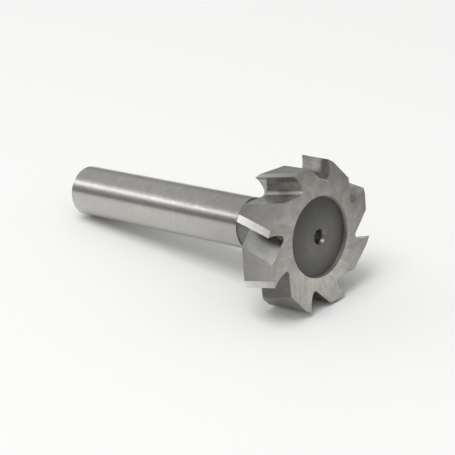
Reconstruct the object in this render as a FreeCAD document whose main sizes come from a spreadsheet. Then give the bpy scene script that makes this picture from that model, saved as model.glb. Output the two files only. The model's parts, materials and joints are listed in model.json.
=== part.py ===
import FreeCAD, Part
import math
import os
import Sketcher
from FreeCAD import Placement, Rotation, Vector

# Woodruff keyseat cutter: one piece of high-speed steel, a toothed disc and a short neck on a
# plain round shank.
# In the body's own frame the axis is +Z, from the front face of the disc towards the shank,
# and "along" the rim means clockwise as seen from the front.
# Right-hand and left-hand teeth alternate: their cutting edges slant opposite ways.
# Each gap between two teeth holds the back of one tooth and the hollow face of the next.

# Driving sizes, in millimetres, degrees and whole numbers
sizes = {
    "overallLength": 63.5,       # front face of the disc to the end of the shank
    "shankDiameter": 10.0,
    "shankEndChamfer": 1.0,
    "neckLength": 8.4,           # from the back of the disc to the ground part of the shank
    "neckUndercut": 0.2,         # how far the neck lies below the ground shank
    "junctionFillet": 0.8,       # where the neck meets the back of the disc
    "cuttingDiameter": 28.5,
    "cuttingWidth": 8.0,
    "toothPairs": 4,             # each pair is one right-hand and one left-hand tooth
    "slantAngle": 12.6,          # of a cutting edge against the axis
    "evenSpacingDepth": 3.0,     # behind the front face, where the edges are evenly spaced
    "landWidth": 1.4,            # narrow ground strip behind a cutting edge
    "landRelief": 14.0,          # fall of that strip against the tangent
    "backRelief": 28.0,          # fall of the tooth's back behind the strip
    "hookAngle": 24.0,           # lean of the hollow tooth face at the cutting edge
    "faceRadius": 6.5,           # of the hollow in the tooth face
    "gulletRadius": 0.7,         # rounded bottom of a gullet
    "gulletDepth": 3.95,         # from a tooth's tip square to the flank across its gullet
    "gulletFlankAngle": 25.0,    # rise of that flank against the tangent
    "recessDiameter": 14.7,      # shallow round recess in the front face
    "recessDepth": 0.6,          # at its wall
    "recessCrown": 0.55,         # how much shallower it is in the middle
    "recessRimChamfer": 0.3,
    "frontCentreDiameter": 3.25, # mouths of the centre holes, on which such a cutter is ground
    "shankCentreDiameter": 4.4,
    "centreConeAngle": 60.0,
    "centrePilotDiameter": 2.5,
    "centrePilotLength": 2.8,    # straight part beyond the cone
    "centreTipAngle": 118.0,
    "cutMargin": 0.3,            # how far the tool that cuts a gap runs past the metal
}

# Sizes that follow from the driving ones
pitch = "180 / Sizes.toothPairs"
headRadius = "Sizes.cuttingDiameter / 2"
shankRadius = "Sizes.shankDiameter / 2"
neckRadius = "(Sizes.shankDiameter / 2 - Sizes.neckUndercut)"
neckEnd = "(Sizes.cuttingWidth + Sizes.neckLength)"
tipDrift = ("tan(Sizes.slantAngle) * max(Sizes.evenSpacingDepth;"
            " Sizes.cuttingWidth - Sizes.evenSpacingDepth)")
tipRadius = f"sqrt(pow({headRadius}; 2) - pow({tipDrift}; 2))"

document = FreeCAD.newDocument("KeyseatCutter")
sheet = document.addObject("Spreadsheet::Sheet", "Sizes")
for row, (alias, value) in enumerate(sizes.items(), start=1):
    sheet.set(f"A{row}", alias)
    sheet.set(f"B{row}", str(value))
    sheet.setAlias(f"B{row}", alias)
document.recompute()

body = document.addObject("PartDesign::Body", "Cutter")
body.Label = "keyseat_cutter"
originParts = {part.Role: part for part in body.Origin.OriginFeatures}


def evaluate(expression):
    """Value of an expression as a plain number."""
    result = body.evalExpression(expression)
    return float(getattr(result, "Value", result))


# Sketching

START, END, CENTRE = 1, 2, 3
ORIGIN = (-1, 1)


def newSketch(name, plane):
    sketch = body.newObject("Sketcher::SketchObject", name)
    sketch.AttachmentSupport = [(originParts[plane], "")]
    sketch.MapMode = "FlatFace"
    return sketch


def dimension(sketch, name, expression, kind, *where):
    """Add a dimension that follows the sheet."""
    value = evaluate(expression)
    if kind == "Angle":
        value = math.radians(value)
    index = sketch.addConstraint(Sketcher.Constraint(kind, *where, value))
    sketch.renameConstraint(index, name)
    sketch.setExpression("Constraints." + name, expression)


def tie(sketch, kind, *where):
    sketch.addConstraint(Sketcher.Constraint(kind, *where))


def outline(sketch, corners):
    """Closed outline through corners, each (name, across, up), that follow the sheet."""
    points = [Vector(evaluate(across), evaluate(up), 0) for name, across, up in corners]
    count = len(points)
    for number in range(count):
        sketch.addGeometry(Part.LineSegment(points[number], points[(number + 1) % count]))
    for number, (name, across, up) in enumerate(corners):
        tie(sketch, "Coincident", number, START, (number - 1) % count, END)
        dimension(sketch, name + "Across", across, "DistanceX", *ORIGIN, number, START)
        dimension(sketch, name + "Up", up, "DistanceY", *ORIGIN, number, START)


def turned(kind, name, sketch):
    """Feature made by a full turn of a sketch about the axis."""
    feature = body.newObject("PartDesign::" + kind, name)
    feature.Profile = (sketch, [""])
    feature.ReferenceAxis = (sketch, ["V_Axis"])
    feature.Angle = 360
    document.recompute()
    return feature


def roundEdge(radius, height):
    """Names of the body's circular edges of that radius at that height."""
    names = []
    for number, edge in enumerate(body.Shape.Edges, start=1):
        circle = edge.Curve
        if isinstance(circle, Part.Circle) and math.isclose(circle.Radius, evaluate(radius)):
            if math.isclose(circle.Center.z, evaluate(height), abs_tol=1e-6):
                names.append(f"Edge{number}")
    return names


def dress(kind, name, edges, dimensionName, expression):
    """Fillet or chamfer on edges of the body."""
    base = body.Tip
    feature = body.newObject("PartDesign::" + kind, name)
    feature.Base = (base, edges)
    feature.setExpression(dimensionName, expression)
    document.recompute()


# Blank: the disc, its neck and its shank, turned in one piece

blank = newSketch("BlankProfile", "XZ_Plane")
outline(blank, [
    ("front", "0", "0"),
    ("rimFront", headRadius, "0"),
    ("rimBack", headRadius, "Sizes.cuttingWidth"),
    ("neckFront", neckRadius, "Sizes.cuttingWidth"),
    ("neckBack", neckRadius, neckEnd),
    ("shankFront", shankRadius, neckEnd),
    ("shankBack", shankRadius, "Sizes.overallLength"),
    ("end", "0", "Sizes.overallLength"),
])
turned("Revolution", "Blank", blank)
dress("Fillet", "JunctionFillet", roundEdge(neckRadius, "Sizes.cuttingWidth"),
      "Radius", "Sizes.junctionFillet")
dress("Chamfer", "ShankEndChamfer", roundEdge(shankRadius, "Sizes.overallLength"),
      "Size", "Sizes.shankEndChamfer")

# Recess in the front face, with a broken rim and a floor that rises a little to the middle

recessRadius = "Sizes.recessDiameter / 2"
crownDepth = "Sizes.recessDepth - Sizes.recessCrown"
recess = newSketch("RecessProfile", "XZ_Plane")
outline(recess, [
    ("axisFront", "0", "-Sizes.cutMargin"),
    ("wallFront", recessRadius, "-Sizes.cutMargin"),
    ("wallFloor", recessRadius, "Sizes.recessDepth"),
    ("axisFloor", "0", crownDepth),
])
turned("Groove", "Recess", recess)
dress("Chamfer", "RecessRimChamfer", roundEdge(recessRadius, "0"),
      "Size", "Sizes.recessRimChamfer")


# Centre holes: a cone, a straight pilot and the drill's tip, into the recess and the shank's end

def centreHole(name, mouth, inward, diameter):
    mouthRadius = f"{diameter} / 2"
    pilotRadius = "Sizes.centrePilotDiameter / 2"
    coneDepth = f"({diameter} - Sizes.centrePilotDiameter) / 2 / tan(Sizes.centreConeAngle / 2)"
    pilotEnd = f"({coneDepth} + Sizes.centrePilotLength)"
    tipDepth = f"({pilotRadius} / tan(Sizes.centreTipAngle / 2))"
    sketch = newSketch(name + "Profile", "XZ_Plane")
    outline(sketch, [
        ("axisMouth", "0", mouth),
        ("mouth", mouthRadius, mouth),
        ("cone", pilotRadius, f"{mouth} {inward} {coneDepth}"),
        ("pilot", pilotRadius, f"{mouth} {inward} {pilotEnd}"),
        ("tip", "0", f"{mouth} {inward} ({pilotEnd} + {tipDepth})"),
    ])
    turned("Groove", name, sketch)


centreHole("FrontCentre", crownDepth, "+", "Sizes.frontCentreDiameter")
centreHole("ShankCentre", "Sizes.overallLength", "-", "Sizes.shankCentreDiameter")


# Gaps between the teeth

def heading(angle):
    return Vector(math.cos(math.radians(angle)), math.sin(math.radians(angle)), 0)


def meeting(pointA, angleA, pointB, angleB):
    """Where a line through each point, at that point's angle, cross."""
    run = heading(angleA)
    square = heading(angleB + 90)
    return pointA + run * ((pointB - pointA).dot(square) / run.dot(square))


def angleFrom(centre, point):
    return math.atan2(point.y - centre.y, point.x - centre.x)


def arc(centre, radius, fromPoint, toPoint):
    circle = Part.Circle(centre, Vector(0, 0, 1), radius)
    return Part.ArcOfCircle(circle, angleFrom(centre, fromPoint), angleFrom(centre, toPoint))


def gapSketch(name, hand, depth, turn):
    """Outline of one gap at a depth behind the front face.

    The sketch's first axis runs through the tooth whose back the gap shows, of that hand:
    1 for right, -1 for left. The next tooth, one pitch along, is of the other hand.
    """
    sketch = newSketch(name, "XY_Plane")
    sketch.setExpression("AttachmentOffset.Base.z", depth)
    sketch.setExpression("AttachmentOffset.Rotation.Angle", turn)

    drift = f"({-hand} * tan(Sizes.slantAngle) * (Sizes.evenSpacingDepth - ({depth})))"
    tip = (tipRadius, drift)
    nextTip = (f"{tipRadius} * cos({pitch}) + {drift} * sin({pitch})",
               f"{tipRadius} * sin({pitch}) - {drift} * cos({pitch})")
    landAngle = "90 + Sizes.landRelief"
    backAngle = "90 + Sizes.backRelief"
    flankAngle = f"{pitch} + Sizes.gulletFlankAngle - 90"
    spokeAngle = f"{pitch} - 90 - Sizes.hookAngle"
    outerRadius = f"{headRadius} + Sizes.cutMargin"

    # Where the pieces of the outline start before the dimensions settle them
    landLine, backLine, flankLine, spokeLine = (
        evaluate(angle) for angle in (landAngle, backAngle, flankAngle, spokeAngle))
    tipPoint = Vector(*(evaluate(part) for part in tip))
    nextPoint = Vector(*(evaluate(part) for part in nextTip))
    rim = evaluate(outerRadius)
    faceRadius = evaluate("Sizes.faceRadius")
    gulletRadius = evaluate("Sizes.gulletRadius")
    landEnd = tipPoint + heading(landLine) * evaluate("Sizes.landWidth")
    faceCentre = nextPoint + heading(spokeLine) * faceRadius
    flankPoint = nextPoint - heading(flankLine + 90) * evaluate("Sizes.gulletDepth")
    backEnd = meeting(landEnd, backLine, flankPoint, flankLine)
    square = heading(flankLine + 90)
    lean = math.degrees(math.acos(
        ((faceCentre - flankPoint).dot(square) - gulletRadius) / (gulletRadius - faceRadius)))
    faceFoot = faceCentre + heading(flankLine + 90 + lean) * faceRadius
    gulletCentre = faceCentre + heading(flankLine + 90 + lean) * (faceRadius - gulletRadius)
    gulletFoot = gulletCentre - square * gulletRadius
    margin = evaluate("Sizes.cutMargin")
    landStart = tipPoint - heading(landLine) * evaluate("Sizes.cutMargin / sin(Sizes.landRelief)")
    faceTop = nextPoint + heading(spokeLine + 90) * margin

    rimArc, land, back, flank, gullet, face, spoke, tipMark = range(8)
    sketch.addGeometry(arc(Vector(), rim, landStart, faceTop))
    sketch.addGeometry(Part.LineSegment(landStart, landEnd))
    sketch.addGeometry(Part.LineSegment(landEnd, backEnd))
    sketch.addGeometry(Part.LineSegment(gulletFoot, backEnd))
    sketch.addGeometry(arc(gulletCentre, gulletRadius, faceFoot, gulletFoot))
    sketch.addGeometry(arc(faceCentre, faceRadius, faceTop, faceFoot))
    sketch.addGeometry(Part.LineSegment(nextPoint, faceCentre), True)
    sketch.addGeometry(Part.Point(tipPoint), True)

    tie(sketch, "Coincident", rimArc, CENTRE, *ORIGIN)
    tie(sketch, "Coincident", rimArc, START, land, START)
    tie(sketch, "Coincident", land, END, back, START)
    tie(sketch, "Coincident", back, END, flank, END)
    tie(sketch, "Tangent", flank, START, gullet, END)
    tie(sketch, "Tangent", gullet, START, face, END)
    tie(sketch, "Coincident", face, START, rimArc, END)
    tie(sketch, "Coincident", spoke, END, face, CENTRE)
    tie(sketch, "PointOnObject", spoke, START, face)
    tie(sketch, "PointOnObject", tipMark, START, land)
    dimension(sketch, "tipAcross", tip[0], "DistanceX", *ORIGIN, tipMark, START)
    dimension(sketch, "tipAlong", tip[1], "DistanceY", *ORIGIN, tipMark, START)
    dimension(sketch, "nextAcross", nextTip[0], "DistanceX", *ORIGIN, spoke, START)
    dimension(sketch, "nextAlong", nextTip[1], "DistanceY", *ORIGIN, spoke, START)
    dimension(sketch, "landWidth", "Sizes.landWidth", "Distance", tipMark, START, land, END)
    dimension(sketch, "landAngle", landAngle, "Angle", land)
    dimension(sketch, "backAngle", backAngle, "Angle", back)
    dimension(sketch, "flankAngle", flankAngle, "Angle", flank)
    dimension(sketch, "spokeAngle", spokeAngle, "Angle", spoke)
    dimension(sketch, "gulletDepth", "Sizes.gulletDepth", "Distance", spoke, START, flank)
    dimension(sketch, "rimRadius", outerRadius, "Radius", rimArc)
    dimension(sketch, "gulletRadius", "Sizes.gulletRadius", "Radius", gullet)
    dimension(sketch, "faceRadius", "Sizes.faceRadius", "Radius", face)
    return sketch


def gap(name, hand, turn):
    front = gapSketch(name + "Front", hand, "-Sizes.cutMargin", turn)
    behind = gapSketch(name + "Back", hand, "Sizes.cuttingWidth + Sizes.cutMargin", turn)
    document.recompute()
    loft = body.newObject("PartDesign::SubtractiveLoft", name)
    loft.Profile = (front, [""])
    loft.Sections = [(behind, [""])]
    loft.Ruled = True
    document.recompute()
    return loft


gaps = [gap("RightHandGap", 1, f"90 + {pitch} / 2"), gap("LeftHandGap", -1, f"90 - {pitch} / 2")]
ring = body.newObject("PartDesign::PolarPattern", "TeethRing")
ring.Originals = gaps
ring.Axis = (originParts["Z_Axis"], [""])
ring.Angle = 360
ring.setExpression("Occurrences", "Sizes.toothPairs")
body.Tip = ring
document.recompute()

# Lying down: a left-hand and a right-hand tooth touch with their back corners, and so does
# the edge of the shank's end. The front of the disc faces -Y, and the axis dips towards +Y.

toothDrop = (f"{tipRadius} * cos({pitch} / 2) - tan(Sizes.slantAngle)"
             f" * (Sizes.cuttingWidth - Sizes.evenSpacingDepth) * sin({pitch} / 2)")
contactSpan = "(Sizes.overallLength - Sizes.shankEndChamfer - Sizes.cuttingWidth)"
dip = evaluate(f"atan(({toothDrop} - {shankRadius}) / {contactSpan})")
body.Placement = Placement(Vector(), Rotation(Vector(1, 0, 0), -90 - dip))
lying = body.Shape.optimalBoundingBox(False)
body.Placement.Base = Vector(-lying.Center.x, -lying.Center.y, -lying.ZMin)
document.recompute()


# Checks, then the file

for item in document.Objects:
    faults = [state for state in item.State if state in ("Invalid", "Error")]
    if faults:
        raise SystemExit(f"{item.Name} is {faults}")
    if item.TypeId == "Sketcher::SketchObject" and not item.FullyConstrained:
        raise SystemExit(f"{item.Name} isn't fully dimensioned")

solid = body.Shape
if solid.isNull() or not solid.isValid() or len(solid.Solids) != 1:
    raise SystemExit("the cutter isn't one valid solid")
blankVolume = document.getObject("LeftHandGap").BaseFeature.BaseFeature.Shape.Volume
if not solid.Volume < blankVolume:
    raise SystemExit("the gaps cut nothing")
print(f"volume {solid.Volume:.1f} mm3, blank {blankVolume:.1f} mm3, dip {dip:.3f} degrees")

os.makedirs("parts", exist_ok=True)
solid.exportStep(f"parts/{body.Label}.step")
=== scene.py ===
import json
import math

import bpy
from mathutils import Euler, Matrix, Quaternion, Vector


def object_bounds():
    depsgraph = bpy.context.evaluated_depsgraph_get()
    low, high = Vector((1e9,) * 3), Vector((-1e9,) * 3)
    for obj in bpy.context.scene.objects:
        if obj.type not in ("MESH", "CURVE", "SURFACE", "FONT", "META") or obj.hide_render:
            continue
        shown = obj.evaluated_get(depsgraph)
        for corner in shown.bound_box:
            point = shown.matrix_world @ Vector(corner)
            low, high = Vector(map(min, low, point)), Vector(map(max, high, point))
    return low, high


# Woodruff keyseat cutter: one piece of high-speed steel, lying on a pale table in soft studio
# light. Its shape is the CAD node's own, so this script adds its finishes, the table, the light and
# the camera.

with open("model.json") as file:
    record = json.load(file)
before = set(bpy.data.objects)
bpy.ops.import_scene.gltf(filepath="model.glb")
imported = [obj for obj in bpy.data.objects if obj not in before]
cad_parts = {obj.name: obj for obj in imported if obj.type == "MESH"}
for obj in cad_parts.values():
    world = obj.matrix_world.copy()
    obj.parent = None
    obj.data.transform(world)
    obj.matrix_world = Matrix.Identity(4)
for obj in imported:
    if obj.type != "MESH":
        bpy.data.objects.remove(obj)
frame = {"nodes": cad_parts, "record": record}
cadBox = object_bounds()
cutter = frame["nodes"]["keyseat_cutter"]
print("frame loaded:", cutter.name)

scene = bpy.context.scene
scene.view_settings.view_transform = "Standard"
mm = 0.001                                   # the frame is in metres, most sizes here in mm


# Sizes that tell the cutter's surfaces apart. A reach is taken from the axis, and an end from the
# front face.
cutterSizes = {
    "discWidth": 8.0,
    "teethReach": 14.3,                      # just beyond the cutting edges
    "gulletReach": 9.9,                      # just inside the bottoms of the gullets
    "recessReach": 7.35,
    "recessEnd": 0.95,                       # deeper than any of the recess
    "rimReach": 7.65,                        # outer edge of the recess's broken rim
    "holeReach": 1.625,
    "pilotReach": 1.25,
    "holeEnd": 9.0,                          # deeper than the front centre hole
    "filletReach": 5.7,                      # just beyond the fillet on the disc's back
    "neckEnd": 16.4,                         # where the ground shank starts
    "shankReach": 5.0,
    "shankEnd": 62.5,                        # where its end chamfer starts
    "overall": 63.5,
    "edgeSlant": 12.6,                       # degrees, one way and the other in turn
}

# The axis runs from the middle of the front face towards the shank. The shank's mount stands on
# it, halfway along the ground part.
shankMount = next(mount for mount in frame["record"]["mounts"] if mount["name"] == "shank")
cutterAxis = Vector(shankMount["axis"]).normalized()
mountDepth = (cutterSizes["neckEnd"] + cutterSizes["shankEnd"]) / 2
frontCentre = Vector(shankMount["pos_m"]) - cutterAxis * mountDepth * mm


def toLinear(hexColour):
    # sRGB hex to the linear colour that shaders take
    channels = [int(hexColour[i:i + 2], 16) / 255 for i in (1, 3, 5)]
    return [c / 12.92 if c <= 0.04045 else ((c + 0.055) / 1.055) ** 2.4 for c in channels] + [1.0]


def sideways(azimuth):
    # a step of 1 away from the axis, at degrees clockwise from the right as seen from the front
    return Vector((math.cos(math.radians(azimuth)), math.sin(math.radians(azimuth)), 0))


def addNode(tree, kind, inputs=(), **settings):
    # one node with its settings, each input either a value or another node's output
    node = tree.nodes.new("ShaderNode" + kind)
    for name, value in settings.items():
        setattr(node, name, value)
    for socket, value in dict(inputs).items():
        if isinstance(value, bpy.types.NodeSocket):
            tree.links.new(value, node.inputs[socket])
        else:
            node.inputs[socket].default_value = value
    return node


def newMaterial(name):
    material = bpy.data.materials.new(name)
    material.use_nodes = True
    material.node_tree.nodes.clear()
    return material


# Camera, at the photograph's viewing angle
camera = {
    "place": (-220.694, -218.262, 159.730),  # mm
    "aim": (-6.827, -14.029, 13.273),        # mm
    "roll": -2.236,                          # degrees
    "lens": 140.76,                          # mm
    "sensor": 36.0,                          # mm
    "nearest": 10.0,                         # mm
}
bpy.ops.object.select_all(action="DESELECT")
bpy.ops.object.camera_add(location=Vector(camera["place"]) * mm)
viewer = bpy.context.object
viewer.name = "viewer"
looking = (Vector(camera["aim"]) - Vector(camera["place"])).to_track_quat("-Z", "Y")
viewer.rotation_mode = "QUATERNION"
viewer.rotation_quaternion = looking @ Quaternion((0, 0, 1), math.radians(camera["roll"]))
viewer.data.lens = camera["lens"]
viewer.data.sensor_width = camera["sensor"]
viewer.data.clip_start = camera["nearest"] * mm
scene.camera = viewer
print("camera placed")


# Table: a broad pale laminate
table = {
    "size": 6.0,                             # m
    "colour": "#f8f8f7",
    "roughness": 0.6,
    "sheen": 0.2,                            # specular level of a matt laminate
}
bpy.ops.object.select_all(action="DESELECT")
bpy.ops.mesh.primitive_plane_add(size=table["size"])
floor = bpy.context.object
floor.name = "table_top"
# Pale laminate: an even matt white that keeps the cutter's soft shadow
laminate = newMaterial("matt_white_laminate")
tree = laminate.node_tree
surface = addNode(tree, "BsdfPrincipled", {
    "Base Color": toLinear(table["colour"]), "Roughness": table["roughness"],
    "Specular IOR Level": table["sheen"]})
addNode(tree, "OutputMaterial", {"Surface": surface.outputs[0]})
floor.data.materials.append(laminate)
print("table laid")


# Studio: a grey room that is darker near the horizon, most of all on the left, and two soft boxes
room = {
    "lowLeft": 0.22, "lowRight": 0.31,       # brightness near the horizon
    "leftEnd": -0.6, "rightStart": -0.2,     # where the two sides meet, from -1 on the left to 1
    "high": 0.61,                            # brightness overhead
    "lowEnd": 0.12, "highStart": 0.42,       # where low and high meet, as a sine of the height
}
world = bpy.data.worlds.new("studio")
scene.world = world
world.use_nodes = True
tree = world.node_tree
tree.nodes.clear()
way = addNode(tree, "TexCoord")
wayParts = addNode(tree, "SeparateXYZ", {0: way.outputs["Generated"]})
nearHorizon = addNode(tree, "MapRange", {
    "Value": wayParts.outputs["X"], "From Min": room["leftEnd"], "From Max": room["rightStart"],
    "To Min": room["lowLeft"], "To Max": room["lowRight"]}, interpolation_type="SMOOTHSTEP")
grey = addNode(tree, "MapRange", {
    "Value": wayParts.outputs["Z"], "From Min": room["lowEnd"], "From Max": room["highStart"],
    "To Min": nearHorizon.outputs[0], "To Max": room["high"]}, interpolation_type="SMOOTHSTEP")
sky = addNode(tree, "Background", {"Color": (1, 1, 1, 1), "Strength": grey.outputs[0]})
addNode(tree, "OutputWorld", {"Surface": sky.outputs[0]})

# As seen from the cutter: azimuth in degrees, 0 in front and clockwise from above, elevation in
# degrees, distance and size in metres, and how bright the box looks, where 1 is white
softBoxes = {
    "strip": {
        "azimuth": -148, "elevation": 25, "distance": 0.9, "size": (0.7, 0.05), "brightness": 4.6},
    "overhead": {
        "azimuth": -88, "elevation": 70, "distance": 1.2, "size": (0.7, 0.7), "brightness": 4.7},
}
middle = (cadBox[0] + cadBox[1]) / 2
for name, box in softBoxes.items():
    bearing, rise = math.radians(box["azimuth"]), math.radians(box["elevation"])
    away = Vector((
        math.sin(bearing) * math.cos(rise), -math.cos(bearing) * math.cos(rise), math.sin(rise)))
    bpy.ops.object.light_add(type="AREA", location=middle + away * box["distance"])
    lamp = bpy.context.object
    lamp.name = name
    lamp.rotation_mode = "QUATERNION"
    lamp.rotation_quaternion = away.to_track_quat("Z", "Y")
    lamp.data.shape = "RECTANGLE"
    lamp.data.size, lamp.data.size_y = box["size"]
    lamp.data.energy = box["brightness"] * math.pi * lamp.data.size * lamp.data.size_y
    lamp.visible_camera = False
print("studio lit")


# The cutter's finishes, each surface as its last operation left it. The limits that tell the
# surfaces apart are in millimetres: "depth" behind the front face, "reach" from the axis, and
# "support", the distance from the axis to the plane that a surface lies in. "facing" is 1 for a
# surface that looks along the axis and 0 for one that looks straight out from it. "tone" is how far
# a surface's marks lighten and darken it, and "patches" how far its grain and cloudy patches do.
slack = 0.1                                  # mm, so that a surface on a limit lies inside it
hair = 0.02                                  # mm, the same where another surface is close
endOn = (0.9, 1.1)                           # facing of a flat surface square to the axis
disc = (-slack, cutterSizes["discWidth"] + slack)
teeth = (cutterSizes["gulletReach"], cutterSizes["teethReach"] + slack)
recess = (-slack, cutterSizes["recessEnd"])
centreHole = (-slack, cutterSizes["holeEnd"])
finishes = {
    "teethBacks": {                          # the starting point, which the rest are laid over
        "colour": "#93918d", "roughness": 0.36, "tone": 0.05, "patches": 0.08,
        "marks": "slanted", "shade": "teeth"},
    "teethLands": {                          # narrow strips ground last, the brightest
        "depth": disc, "support": (13.45, 14.6),
        "colour": "#c5c3bf", "roughness": 0.24, "tone": 0.04, "patches": 0.06,
        "marks": "slanted", "shade": "lands"},
    "gulletRoots": {                         # left from the roughing cut, duller than the rest
        "depth": disc, "reach": (cutterSizes["gulletReach"], 11.0),
        "colour": "#c2c1bf", "roughness": 0.58, "tone": 0.08, "patches": 0.14,
        "marks": "slanted", "shade": "gullets"},
    "gulletFlanks": {
        "depth": disc, "support": (7.9, 11.0), "reach": teeth,
        "colour": "#bfbebb", "roughness": 0.28, "tone": 0.06, "patches": 0.10,
        "marks": "slanted", "shade": "gullets"},
    "toothFaces": {
        "depth": disc, "support": (-9.0, 4.0), "reach": teeth,
        "colour": "#a7a5a0", "roughness": 0.16, "tone": 0.10, "patches": 0.24,
        "marks": "slanted", "shade": "gullets"},
    "groundSides": {                         # front ring and the disc's back, ground by a cup wheel
        "depth": disc, "facing": endOn,
        "colour": "#a5a29d", "roughness": 0.40, "tone": 0.14, "patches": 0.15,
        "marks": "radial", "shade": "ring"},
    "recessRim": {
        "depth": (-slack, 0.35), "reach": (7.3, cutterSizes["rimReach"]), "facing": (-0.1, 0.9),
        "colour": "#7c7974", "roughness": 0.4, "tone": 0.04, "patches": 0.05, "marks": "round"},
    "recessFloor": {                         # turned and hardened, never ground: charcoal
        "depth": recess, "reach": (cutterSizes["holeReach"], cutterSizes["recessReach"]),
        "colour": "#646362", "roughness": 0.48, "tone": 0.05, "patches": 0.05,
        "marks": "rings", "shade": "recess"},
    "recessCorner": {                        # the same, with the tool's last turns left in it
        "depth": (0.2, cutterSizes["recessEnd"]),
        "reach": (6.5, cutterSizes["recessReach"] - slack),
        "colour": "#605f5e", "roughness": 0.42, "tone": 0.18, "patches": 0.05,
        "marks": "rings", "shade": "recess"},
    # painted light: the recess wall is far lighter than the charcoal recess floor beside it
    "recessWall": {
        "depth": recess, "facing": (-0.1, 0.5),
        "reach": (cutterSizes["recessReach"] - slack, cutterSizes["recessReach"] + hair),
        "colour": "#bcb9b3", "roughness": 0.45, "tone": 0.06, "patches": 0.04, "marks": "round"},
    "centreCone": {
        "depth": centreHole, "reach": (-slack, cutterSizes["holeReach"] + hair),
        "colour": "#84817d", "roughness": 0.38, "tone": 0.06, "patches": 0.12, "marks": "round"},
    # painted light: the pilot, deep in the hole, is lighter than the cone around it
    "centrePilot": {
        "depth": centreHole, "reach": (-slack, cutterSizes["pilotReach"] + hair),
        "colour": "#acaaa7", "roughness": 0.35, "tone": 0.06, "patches": 0.12, "marks": "round"},
    "neck": {                                # dark like the recess, a little lighter
        "depth": (cutterSizes["discWidth"] + hair, cutterSizes["neckEnd"] - slack / 2),
        "reach": (0.0, cutterSizes["filletReach"]),
        "colour": "#7e7d7c", "roughness": 0.45, "tone": 0.05, "patches": 0.06, "marks": "round"},
    "shank": {                               # finely ground between centres
        "depth": (cutterSizes["neckEnd"] - slack / 2, cutterSizes["overall"] + slack),
        "reach": (0.0, cutterSizes["shankReach"] + slack),
        "colour": "#bbb9b5", "roughness": 0.25, "tone": 0.11, "patches": 0.04,
        "marks": "round", "shade": "shank"},
    "shankEndFace": {
        "depth": (cutterSizes["overall"] - slack, cutterSizes["overall"] + slack), "facing": endOn,
        "colour": "#a19e98", "roughness": 0.38, "tone": 0.07, "patches": 0.06, "marks": "rings"},
    "shankCentre": {                         # the hole in its end
        "depth": (50.0, cutterSizes["overall"] - hair), "reach": (0.0, 2.3),
        "colour": "#827e77", "roughness": 0.34, "tone": 0.08, "patches": 0.08, "marks": "round"},
}

# Ground high-speed steel: a grey metal with a warm cast, dull or bright by how fine its grinding
# marks are, and charcoal where it was only turned and hardened. Painted light and shade is laid
# over its colour in places.
steel = newMaterial("ground_high_speed_steel")
tree = steel.node_tree

# Positions in the cutter's own frame, in millimetres, with the axis along Z
axisTilt = math.atan2(cutterAxis.y, cutterAxis.z)
upright = Euler((axisTilt, 0, 0))
shift = -(upright.to_matrix() @ frontCentre) / mm
source = addNode(tree, "TexCoord")
place = addNode(tree, "Mapping", {
    "Vector": source.outputs["Object"], "Location": shift, "Rotation": upright,
    "Scale": (1 / mm, 1 / mm, 1 / mm)}, vector_type="POINT")
normal = addNode(tree, "Mapping", {
    "Vector": source.outputs["Normal"], "Rotation": upright}, vector_type="VECTOR")
placeParts = addNode(tree, "SeparateXYZ", {0: place.outputs[0]})
normalParts = addNode(tree, "SeparateXYZ", {0: normal.outputs[0]})
flat = addNode(tree, "VectorMath", {0: place.outputs[0], 1: (1, 1, 0)}, operation="MULTIPLY")
reach = addNode(tree, "VectorMath", {0: flat.outputs[0]}, operation="LENGTH")
outward = addNode(tree, "VectorMath", {0: flat.outputs[0]}, operation="NORMALIZE")
around = addNode(tree, "VectorMath", {
    0: (0, 0, 1), 1: outward.outputs[0]}, operation="CROSS_PRODUCT")
support = addNode(tree, "VectorMath", {
    0: flat.outputs[0], 1: normal.outputs[0]}, operation="DOT_PRODUCT")
lookAround = addNode(tree, "VectorMath", {
    0: around.outputs[0], 1: normal.outputs[0]}, operation="DOT_PRODUCT")
facing = addNode(tree, "Math", {0: normalParts.outputs["Z"]}, operation="ABSOLUTE")
measures = {
    "depth": placeParts.outputs["Z"],
    "reach": reach.outputs["Value"],
    "support": support.outputs["Value"],
    "facing": facing.outputs[0],
}

# How the marks run: along the cutting edges, which slant to one side or the other, outwards in
# slight curves on the ground sides, and round the axis on what was turned
marks = {
    "slantReach": 12.6,                      # mm from the axis, where the edges' slant is measured
    "swirl": 0.05,                           # radians of curve for each mm outwards
    "ringReach": 10.0,                       # mm from the axis, where the outward marks are counted
    "detail": 5.0, "roughness": 0.65,        # how far their noise is broken up, and how strongly
}
# Which way a tooth's surface slants shows in how it faces
leanSign = addNode(tree, "Math", {
    0: normalParts.outputs["Z"], 1: lookAround.outputs["Value"]}, operation="MULTIPLY")
lean = addNode(tree, "Math", {0: leanSign.outputs[0]}, operation="SIGN")
slant = math.tan(math.radians(cutterSizes["edgeSlant"]))
slope = addNode(tree, "Math", {0: lean.outputs[0], 1: slant}, operation="MULTIPLY")
slid = addNode(tree, "Math", {0: slope.outputs[0], 1: measures["depth"]}, operation="MULTIPLY")
untwist = addNode(tree, "Math", {0: slid.outputs[0], 1: marks["slantReach"]}, operation="DIVIDE")
slantedPlace = addNode(tree, "VectorRotate", {
    "Vector": place.outputs[0], "Angle": untwist.outputs[0]}, rotation_type="Z_AXIS")
slantedWay = addNode(tree, "VectorMath", {
    0: around.outputs[0], "Scale": slope.outputs[0]}, operation="SCALE")
slantedScratch = addNode(tree, "VectorMath", {
    0: (0, 0, 1), 1: slantedWay.outputs[0]}, operation="SUBTRACT")
swirl = addNode(tree, "Math", {0: measures["reach"], 1: marks["swirl"]}, operation="MULTIPLY")
swirled = addNode(tree, "VectorRotate", {
    "Vector": outward.outputs[0], "Angle": swirl.outputs[0]}, rotation_type="Z_AXIS")
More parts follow.
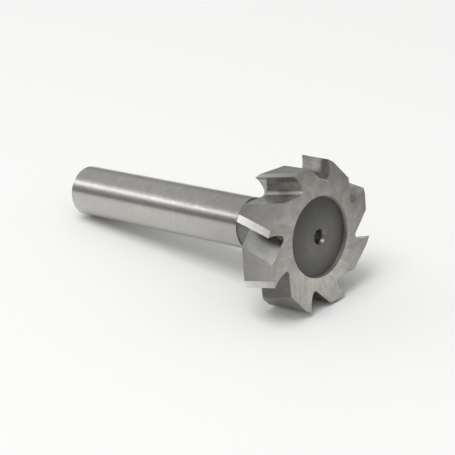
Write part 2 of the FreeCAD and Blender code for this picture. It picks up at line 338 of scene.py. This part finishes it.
counted = addNode(tree, "VectorMath", {
    0: swirled.outputs[0], "Scale": marks["ringReach"]}, operation="SCALE")
reachAlone = addNode(tree, "CombineXYZ", {2: measures["reach"]})
outwardPlace = addNode(tree, "VectorMath", {
    0: counted.outputs[0], 1: reachAlone.outputs[0]}, operation="ADD")
ringsPlace = addNode(tree, "VectorMath", {
    0: outward.outputs[0], 1: reachAlone.outputs[0]}, operation="ADD")

# Each kind of mark: where it is measured, how many to a millimetre along each direction, and the
# direction of its scratches. The real marks are 0.02 to 0.05 mm apart, drawn coarse enough to show.
markKinds = {
    "slanted": {
        "place": slantedPlace.outputs[0], "perMm": (3.0, 3.0, 0.2),
        "scratch": slantedScratch.outputs[0]},
    "radial": {
        "place": outwardPlace.outputs[0], "perMm": (0.8, 0.8, 0.16), "scratch": outward.outputs[0]},
    "round": {
        "place": place.outputs[0], "perMm": (0.5, 0.5, 6.0), "scratch": around.outputs[0]},
    "rings": {
        "place": ringsPlace.outputs[0], "perMm": (0.4, 0.4, 2.4), "scratch": around.outputs[0]},
}
for kind in markKinds.values():
    scaled = addNode(tree, "VectorMath", {0: kind["place"], 1: kind["perMm"]}, operation="MULTIPLY")
    kind["height"] = addNode(tree, "TexNoise", {
        "Vector": scaled.outputs[0], "Scale": 1.0, "Detail": marks["detail"],
        "Roughness": marks["roughness"]}).outputs[0]

# Shades that change slowly over a surface. Painted light: the ring and the recess's floor are
# lighter towards one side, and the ring is also lighter along one line through the axis, a painted
# reflection. Both are in degrees clockwise from the right, as seen from the front.
ringSides = {"paintedLightSide": 117.0, "paintedReflectionLine": 85.0}
towardsSide = addNode(tree, "VectorMath", {
    0: flat.outputs[0], 1: sideways(ringSides["paintedLightSide"])}, operation="DOT_PRODUCT")
towardsLine = addNode(tree, "VectorMath", {
    0: outward.outputs[0], 1: sideways(ringSides["paintedReflectionLine"])}, operation="DOT_PRODUCT")
alongLine = addNode(tree, "Math", {
    0: towardsLine.outputs["Value"], 1: towardsLine.outputs["Value"]}, operation="MULTIPLY")
measures["paintedLightSide"] = towardsSide.outputs["Value"]
measures["paintedReflectionLine"] = alongLine.outputs[0]

# Each ramp says what it runs over, from where to where, and how light it is at its two ends
discSpan = (0.0, cutterSizes["discWidth"])
ringSpan = (cutterSizes["rimReach"], cutterSizes["teethReach"])
sideSpan = (-12.0, 12.0)                     # mm towards the side lit by painted light
shadeRamps = {
    "teeth": [{"over": "depth", "span": discSpan, "light": (1.14, 0.88)}],
    # painted highlight: the lands are lighter towards the back of the disc
    "lands": [{"over": "depth", "span": discSpan, "light": (0.76, 1.24)}],
    "ring": [
        {"over": "paintedLightSide", "span": sideSpan, "light": (0.69, 1.35)},
        {"over": "reach", "span": ringSpan, "light": (1.03, 0.80)},
        {"over": "paintedReflectionLine", "span": (0.0, 1.0), "light": (0.95, 1.065)}],
    "recess": [
        # painted shade: the recess floor is darker towards its wall
        {"over": "reach", "span": (3.0, 6.6), "light": (1.24, 0.80)},
        {"over": "paintedLightSide", "span": sideSpan, "light": (0.78, 1.22)}],
    # painted shade: the shank is darker near the head
    "shank": [{"over": "depth", "span": (cutterSizes["neckEnd"], 36.0), "light": (0.82, 1.0)}],
}
shades = {}
for name, ramps in shadeRamps.items():
    shade = 1.0
    for ramp in ramps:
        (start, end), (startLight, endLight) = ramp["span"], ramp["light"]
        factor = addNode(tree, "MapRange", {
            "Value": measures[ramp["over"]], "From Min": start, "From Max": end,
            "To Min": startLight, "To Max": endLight})
        shade = addNode(tree, "Math", {
            0: factor.outputs[0], 1: shade}, operation="MULTIPLY").outputs[0]
    shades[name] = shade

# Painted shade and painted reflections in and beside the gullets, each at a set place. "at" says
# where one lies: degrees aside from its gullet's middle, mm from the axis and mm behind the front
# face. "fades" says how many mm from there it is still whole and where it ends. One whose light is
# above 1 is a painted highlight.
gullets = {
    "count": 8,
    "firstAzimuth": 22.5,                    # degrees clockwise from the right, seen from the front
    "stretch": 0.35,                         # a painted spot reaches further along a gullet than across it
    "paintedShadeSpots": [
        {"gullet": 0, "at": (0, 10.4, 4.0), "light": 0.50, "fades": (2.6, 7.5)},
        {"gullet": 1, "at": (-6, 10.8, 4.0), "light": 0.50, "fades": (1.5, 5.0)},
        {"gullet": 2, "at": (-10, 11.2, 4.0), "light": 0.38, "fades": (3.0, 6.0)},
        {"gullet": 3, "at": (-11, 11.4, 4.0), "light": 0.24, "fades": (3.3, 5.0)},
        {"gullet": 4, "at": (0, 10.3, 0.0), "light": 0.20, "fades": (1.6, 2.8)},
        {"gullet": 4, "at": (-9, 11.5, 7.0), "light": 0.86, "fades": (1.5, 3.0)},
        {"gullet": 5, "at": (1, 10.35, 4.0), "light": 0.62, "fades": (0.2, 0.9)},
        {"gullet": 5, "at": (-12, 11.5, 7.0), "light": 0.80, "fades": (1.0, 2.2)},
        {"gullet": 5, "at": (3, 13.0, 1.8), "light": 1.40, "fades": (0.9, 2.2)},
        {"gullet": 6, "at": (-8, 10.8, 4.0), "light": 0.76, "fades": (1.0, 4.0)},
        {"gullet": 6, "at": (4, 13.2, 5.0), "light": 0.79, "fades": (1.2, 2.6)},
        {"gullet": 6, "at": (0, 13.0, -1.0), "light": 1.22, "fades": (0.8, 1.9)},
        {"gullet": 7, "at": (0, 10.4, 4.0), "light": 0.54, "fades": (1.4, 5.2)}],
}
squeezed = addNode(tree, "VectorMath", {
    0: place.outputs[0], 1: (1, 1, gullets["stretch"])}, operation="MULTIPLY")
shade = shades["teeth"]
for paintedSpot in gullets["paintedShadeSpots"]:
    (aside, spotReach, spotDepth), (whole, gone) = paintedSpot["at"], paintedSpot["fades"]
    azimuth = gullets["firstAzimuth"] + 360 / gullets["count"] * paintedSpot["gullet"] + aside
    centre = sideways(azimuth) * spotReach
    centre.z = spotDepth * gullets["stretch"]
    apart = addNode(tree, "VectorMath", {0: squeezed.outputs[0], 1: centre}, operation="DISTANCE")
    factor = addNode(tree, "MapRange", {
        "Value": apart.outputs["Value"], "From Min": whole, "From Max": gone,
        "To Min": paintedSpot["light"], "To Max": 1.0}, interpolation_type="SMOOTHSTEP")
    shade = addNode(tree, "Math", {0: factor.outputs[0], 1: shade}, operation="MULTIPLY").outputs[0]
shades["gullets"] = shade

# Each finish is laid over the ones before it, inside its limits
laid = {}
for finish in finishes.values():
    mask = None
    for name, measure in measures.items():
        if name not in finish:
            continue
        low, high = finish[name]
        inside = addNode(tree, "Math", {
            0: measure, 1: (low + high) / 2, 2: (high - low) / 2}, operation="COMPARE")
        if mask is None:
            mask = inside.outputs[0]
        else:
            mask = addNode(tree, "Math", {
                0: mask, 1: inside.outputs[0]}, operation="MULTIPLY").outputs[0]
    kind = markKinds[finish["marks"]]
    values = {                               # and the kind of data that each is mixed as
        "colour": ("RGBA", toLinear(finish["colour"])),
        "surface": ("VECTOR", (finish["roughness"], finish["tone"], finish["patches"])),
        "shade": ("FLOAT", shades.get(finish.get("shade"), 1.0)),
        "height": ("FLOAT", kind["height"]),
        "scratch": ("VECTOR", kind["scratch"]),
    }
    for key, (dataType, value) in values.items():
        if mask is None:
            laid[key] = value
            continue
        mix = addNode(tree, "Mix", data_type=dataType)
        sockets = [socket for socket in mix.inputs if socket.enabled]
        for socket, filling in zip(sockets, (mask, laid[key], value)):
            if isinstance(filling, bpy.types.NodeSocket):
                tree.links.new(filling, socket)
            else:
                socket.default_value = filling
        laid[key] = next(socket for socket in mix.outputs if socket.enabled)
surfaceParts = addNode(tree, "SeparateXYZ", {0: laid["surface"]})
roughness, tone, patches = surfaceParts.outputs

# The marks lighten and darken the metal a little, and so do a fine grain and broad cloudy patches
wear = {
    "cloudPerMm": 0.35, "grainPerMm": 1.5,   # how many patches and grains to a mm
    "cloudShare": 1.0, "grainShare": 0.6,    # how much of a finish's "patches" each carries
    "detail": 4.0,                           # how far their noise is broken up
    "low": 0.3, "high": 0.7,                 # most of a noise lies between these
    "dulling": 0.1,                          # roughness that the lightest marks add at a tone of 1
    "markStep": 0.05,                        # mm, height of the marks at a tone of 1
    "edgeRound": 0.02,                       # mm that the edges are broken by
    "edgeSamples": 4,                        # rays that find those edges
    "across": 0.3,                           # how far a reflection spreads across the marks, 0 to 1
}
shade = laid["shade"]
for patch in ("cloud", "grain"):
    noise = addNode(tree, "TexNoise", {
        "Vector": place.outputs[0], "Scale": wear[patch + "PerMm"], "Detail": wear["detail"]})
    swing = addNode(tree, "MapRange", {
        "Value": noise.outputs[0], "From Min": wear["low"], "From Max": wear["high"],
        "To Min": -wear[patch + "Share"], "To Max": wear[patch + "Share"]})
    patchTone = addNode(tree, "Math", {
        0: swing.outputs[0], 1: patches, 2: 1.0}, operation="MULTIPLY_ADD")
    shade = addNode(tree, "Math", {
        0: patchTone.outputs[0], 1: shade}, operation="MULTIPLY").outputs[0]
markSwing = addNode(tree, "MapRange", {
    "Value": laid["height"], "From Min": wear["low"], "From Max": wear["high"],
    "To Min": -1.0, "To Max": 1.0}, clamp=False)
markTone = addNode(tree, "Math", {
    0: markSwing.outputs[0], 1: tone, 2: 1.0}, operation="MULTIPLY_ADD")
shade = addNode(tree, "Math", {0: markTone.outputs[0], 1: shade}, operation="MULTIPLY").outputs[0]
toned = addNode(tree, "VectorMath", {0: laid["colour"], "Scale": shade}, operation="SCALE")
dulled = addNode(tree, "Math", {0: markTone.outputs[0], 1: 1.0}, operation="SUBTRACT")
dullness = addNode(tree, "Math", {
    0: dulled.outputs[0], 1: wear["dulling"], 2: roughness}, operation="MULTIPLY_ADD")
edge = addNode(tree, "Bevel", {"Radius": wear["edgeRound"] * mm}, samples=wear["edgeSamples"])
bump = addNode(tree, "Bump", {
    "Height": laid["height"], "Strength": tone, "Distance": wear["markStep"] * mm,
    "Normal": edge.outputs[0]})
# The direction of the scratches, turned back from the cutter's frame, and the one across them
scratchAlong = addNode(tree, "Mapping", {
    "Vector": laid["scratch"], "Rotation": Euler((-axisTilt, 0, 0))}, vector_type="VECTOR")
scratchAcross = addNode(tree, "VectorMath", {
    0: scratchAlong.outputs[0], 1: source.outputs["Normal"]}, operation="CROSS_PRODUCT")
metal = addNode(tree, "BsdfPrincipled", {
    "Base Color": toned.outputs[0], "Metallic": 1.0, "Roughness": dullness.outputs[0],
    "Anisotropic": wear["across"], "Normal": bump.outputs[0], "Tangent": scratchAcross.outputs[0]})
addNode(tree, "OutputMaterial", {"Surface": metal.outputs[0]})

for slot in cutter.material_slots:
    slot.material = steel
print("steel finished, nodes:", len(tree.nodes))
